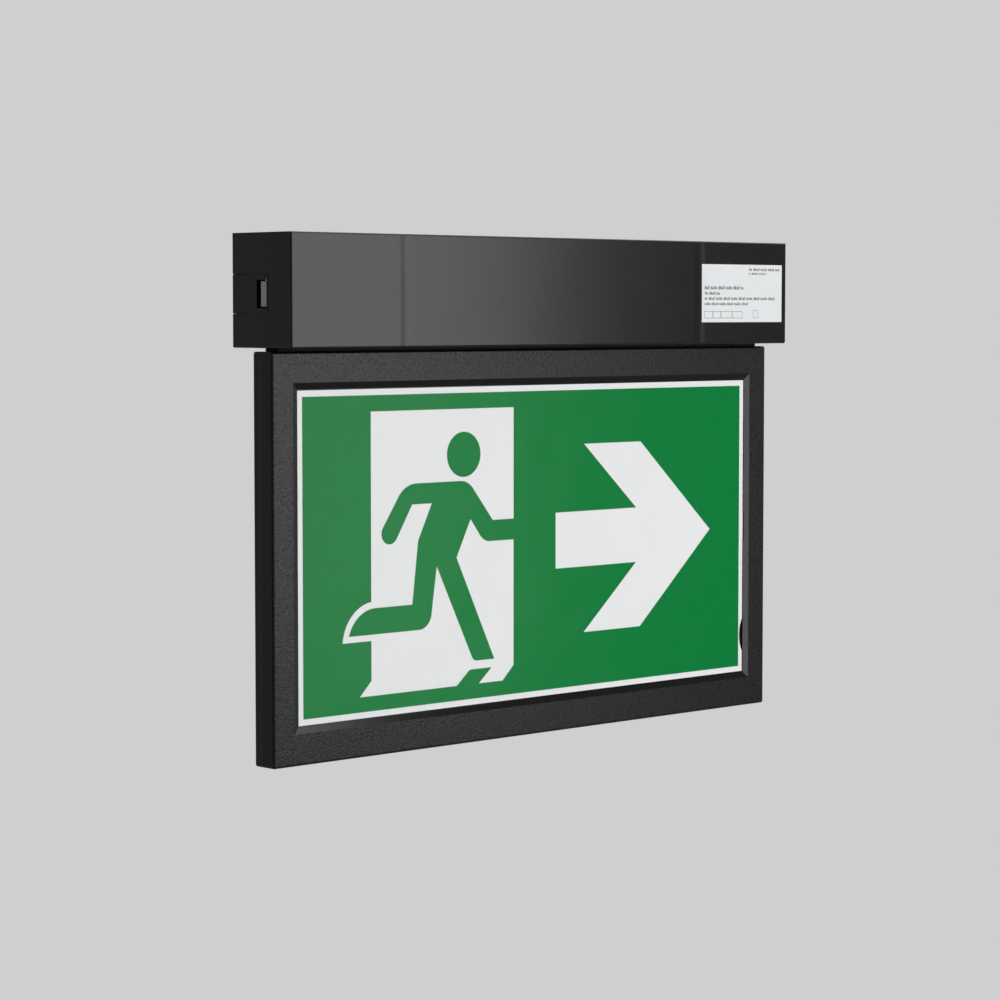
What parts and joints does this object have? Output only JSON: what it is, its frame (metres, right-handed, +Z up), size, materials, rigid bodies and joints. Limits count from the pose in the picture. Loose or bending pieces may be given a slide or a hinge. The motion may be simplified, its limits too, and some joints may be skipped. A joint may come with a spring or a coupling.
{
  "type": "emergency exit light",
  "caption": "Ceiling or wall mounted exit light: slim black housing with a lift-off cover and an edge-lit sign hanging below, green running figure and arrow.",
  "frame": {"origin": "centre of the housing's top face, which goes against the ceiling", "axes": "+X along the housing, towards the arrow's point; +Y to the rear, towards the wall; +Z up, out of the top face"},
  "size_m": [0.338, 0.0429, 0.2469],
  "materials": {
    "housing": "smooth satin moulding",
    "frame": "leather-grained moulding",
    "catch": "satin",
    "label": "satin film",
    "grommet": "matt",
    "clamp": "satin",
    "screws": "zinc plated",
    "board": "solder mask",
    "transformer": "taped winding on a dark core",
    "can": "sleeved can",
    "winding": "enamelled wire",
    "fuse": "capped tube",
    "connector": "satin",
    "dial_body": "satin",
    "dial": "satin",
    "chip": "matt",
    "rail": "extruded",
    "lamp_board": "white solder mask",
    "lamp": "clear over phosphor",
    "clear": "clear acrylic",
    "strap": "zinc plated",
    "opal": "opal sheet",
    "film": "satin film",
    "green": "printed field"
  },
  "bodies": {
    "base": {"housing_base": "housing", "cable_grommet": "grommet", "cable_clamp": "clamp", "board_screws": "screws", "clamp_screws": "screws", "hanger_screws": "screws", "driver_board": "board", "address_board": "board", "driver_transformer": "transformer", "driver_capacitors": "can", "driver_choke": "winding", "driver_fuse": "fuse", "board_connectors": "connector", "dial_sockets": "dial_body", "address_chip": "chip", "terminal_block": "connector", "terminal_screws": "screws", "light_rail": "rail", "lamp_board": "lamp_board", "lamps": "lamp", "light_guide": "clear", "hanger_left": "strap", "hanger_right": "strap", "front_bezel": "frame", "rear_bezel": "frame", "front_diffuser": "opal", "rear_diffuser": "opal", "front_film": "film", "rear_film": "film", "front_legend": "green", "rear_legend": "green"},
    "cover": {"housing_cover": "housing", "rating_label": "label"},
    "catch_left": {"release_catch_left": "catch"},
    "catch_right": {"release_catch_right": "catch"},
    "dial_tens": {"address_dial_tens": "dial"},
    "dial_units": {"address_dial_units": "dial"}
  },
  "joints": [
    {"name": "cover_slide", "type": "slide", "parent": "base", "child": "cover", "axis": [0, -1, 0], "range_m": [0, 0.06]},
    {"name": "catch_left_press", "type": "hinge", "parent": "base", "child": "catch_left", "pos_m": [-0.1622, 0.01405, -0.0282], "axis": [0, 0, 1], "range_deg": [0, 8], "stiffness_Nm_per_rad": 0.4},
    {"name": "catch_right_press", "type": "hinge", "parent": "base", "child": "catch_right", "pos_m": [0.1622, 0.01405, -0.0282], "axis": [0, 0, -1], "range_deg": [0, 8], "stiffness_Nm_per_rad": 0.4},
    {"name": "dial_tens_turn", "type": "hinge", "parent": "base", "child": "dial_tens", "pos_m": [0.07226, 0.00965, -0.019], "axis": [0, -1, 0], "continuous": true},
    {"name": "dial_units_turn", "type": "hinge", "parent": "base", "child": "dial_units", "pos_m": [0.08726, 0.00965, -0.019], "axis": [0, -1, 0], "continuous": true}
  ]
}
